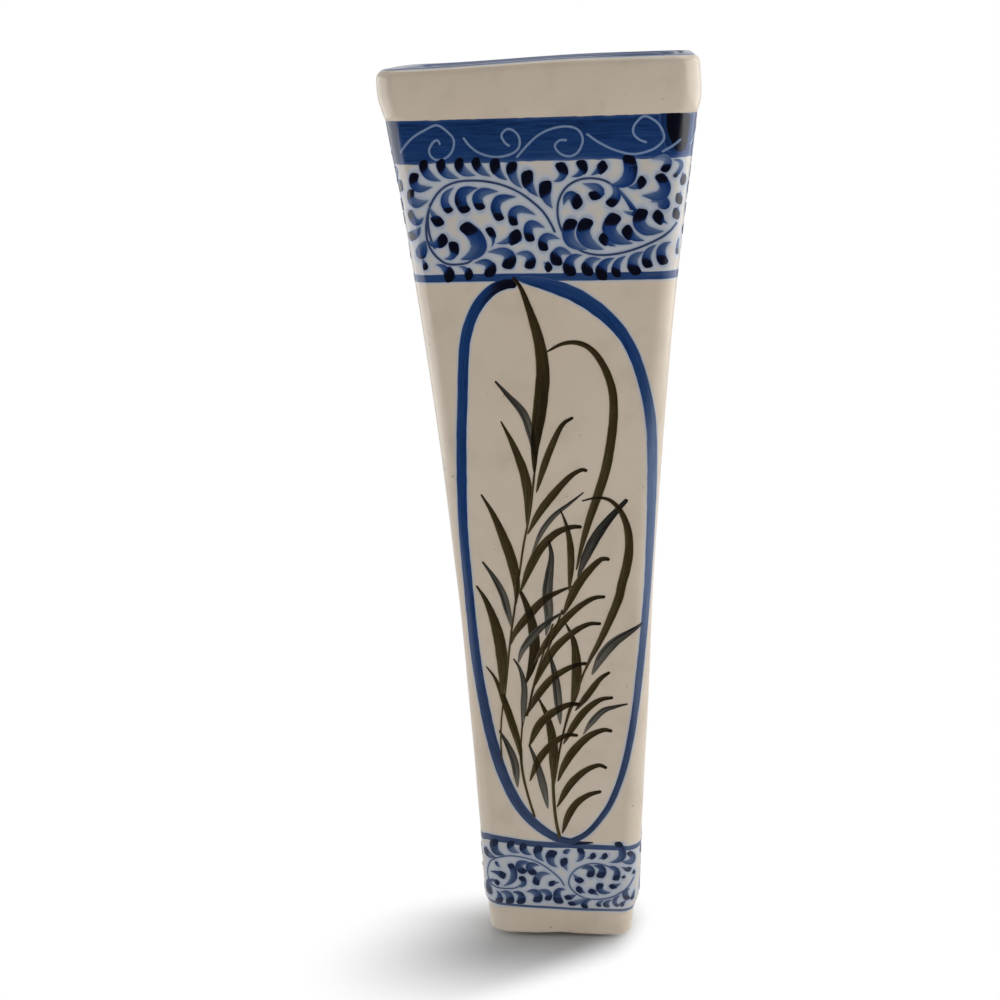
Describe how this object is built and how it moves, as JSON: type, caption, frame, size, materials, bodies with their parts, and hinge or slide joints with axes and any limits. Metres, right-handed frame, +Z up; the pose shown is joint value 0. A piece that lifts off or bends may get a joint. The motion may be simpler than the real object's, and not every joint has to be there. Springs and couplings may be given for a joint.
{
  "type": "hanging wall vase",
  "caption": "Tall flared rectangular wall vase of glazed clay slabs, with a flat back, a hanging hole, a thick rim band, a tucked-in foot and blue painted scroll bands round a grass panel.",
  "frame": {"origin": "middle of the vase's box at floor level, under the foot", "axes": "+Z up, +Y out of the flat back towards the wall it hangs on, +X to the right seen from the front"},
  "size_m": [0.096, 0.07, 0.3],
  "materials": {
    "white_glaze": "glossy warm white glaze",
    "inside_glaze": "glossy warm white glaze, plain",
    "cobalt_paint": "brushed cobalt blue under the glaze",
    "olive_paint": "thin brown-green brushwork under the glaze"
  },
  "bodies": {
    "root": {"front_wall": "white_glaze", "left_wall": "white_glaze", "right_wall": "white_glaze", "back_wall": "white_glaze", "foot_slab": "white_glaze", "rim_band": "white_glaze", "front_left_seam": "inside_glaze", "front_right_seam": "inside_glaze", "back_left_seam": "inside_glaze", "back_right_seam": "inside_glaze", "floor_seam": "inside_glaze"}
  },
  "joints": []
}
